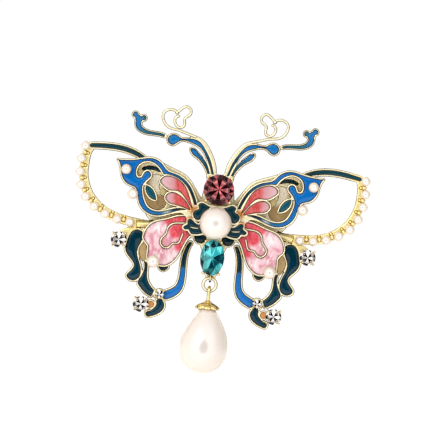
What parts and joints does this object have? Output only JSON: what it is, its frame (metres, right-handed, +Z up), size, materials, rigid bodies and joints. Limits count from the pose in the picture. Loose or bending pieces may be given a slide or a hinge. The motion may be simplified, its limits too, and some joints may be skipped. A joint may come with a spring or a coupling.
{
  "type": "butterfly brooch",
  "caption": "Butterfly pin brooch in gold plate and enamel with faceted stones, pearls, a hinged pin with safety catch and a swinging pearl drop.",
  "frame": {"origin": "on the pin's axis, midway between the two sides of the brooch, where a garment holds it", "axes": "+Z up towards the head and antennae, -Y out of the front, +X to the right seen from the front; the brooch stands upright as it is worn"},
  "size_m": [0.0609, 0.0148, 0.0546],
  "materials": {
    "gold": "polished gold plate",
    "steel_pin": "polished gold plate",
    "enamel_green": "glossy dark green epoxy enamel",
    "enamel_blue": "glossy blue epoxy enamel",
    "enamel_pink": "pearly coral to pink epoxy enamel",
    "enamel_teal": "glossy teal epoxy enamel",
    "panel_beige": "sanded gold plate",
    "pearl": "lustrous cream imitation pearl",
    "garnet_glass": "faceted, foiled dark red glass",
    "teal_glass": "faceted, foiled teal glass",
    "clear_glass": "faceted, foiled clear crystal"
  },
  "bodies": {
    "brooch": {"antenna_enamel": "enamel_blue", "antenna_left": "gold", "antenna_right": "gold", "base_enamel_blue": "enamel_blue", "base_enamel_green": "enamel_green", "base_frame": "gold", "base_panels_beige": "panel_beige", "body_collar": "gold", "body_collar_enamel": "enamel_green", "body_pearl": "pearl", "body_pearl_cup": "gold", "cloud_arm_left": "gold", "cloud_arm_right": "gold", "cloud_enamel": "enamel_blue", "head_setting": "gold", "head_stone": "garnet_glass", "hindwing_pearls": "pearl", "loop_bar_enamel": "enamel_teal", "loop_pearls_left": "pearl", "loop_pearls_right": "pearl", "lower_crystal_cups": "gold", "lower_crystals": "clear_glass", "outer_crystal_cups": "gold", "outer_crystals": "clear_glass", "oval_setting": "gold", "oval_stone": "teal_glass", "pin_catch": "gold", "pin_hinge_bracket": "gold", "pin_hinge_rivet": "gold", "small_crystal_cups": "gold", "small_crystals": "clear_glass", "wing_edge_pearls": "pearl", "wing_enamel_blue": "enamel_blue", "wing_enamel_leaf": "enamel_teal", "wing_enamel_pink": "enamel_pink", "wing_left": "gold", "wing_posts": "gold", "wing_right": "gold", "wing_tip_pearls": "pearl", "wire_heart_left": "gold", "wire_heart_right": "gold"},
    "jump_ring": {"jump_ring": "gold"},
    "drop": {"drop_cap": "gold", "drop_pearl": "pearl"},
    "pin": {"pin_stem": "steel_pin"},
    "roller": {"safety_roller": "gold"}
  },
  "joints": [
    {"name": "ring_swing", "type": "hinge", "parent": "brooch", "child": "jump_ring", "pos_m": [0, -0.0052, -0.0161], "axis": [-1, 0, 0], "range_deg": [-30, 60]},
    {"name": "drop_sway", "type": "hinge", "parent": "jump_ring", "child": "drop", "pos_m": [0, -0.0052, -0.01745], "axis": [0, 1, 0], "range_deg": [-22, 22]},
    {"name": "pin_hinge", "type": "hinge", "parent": "brooch", "child": "pin", "pos_m": [0.0115, 0, 0], "axis": [0, 0, -1], "range_deg": [0, 80]},
    {"name": "roller_turn", "type": "hinge", "parent": "brooch", "child": "roller", "pos_m": [-0.0115, 0, 0], "axis": [1, 0, 0], "range_deg": [0, 90]}
  ]
}
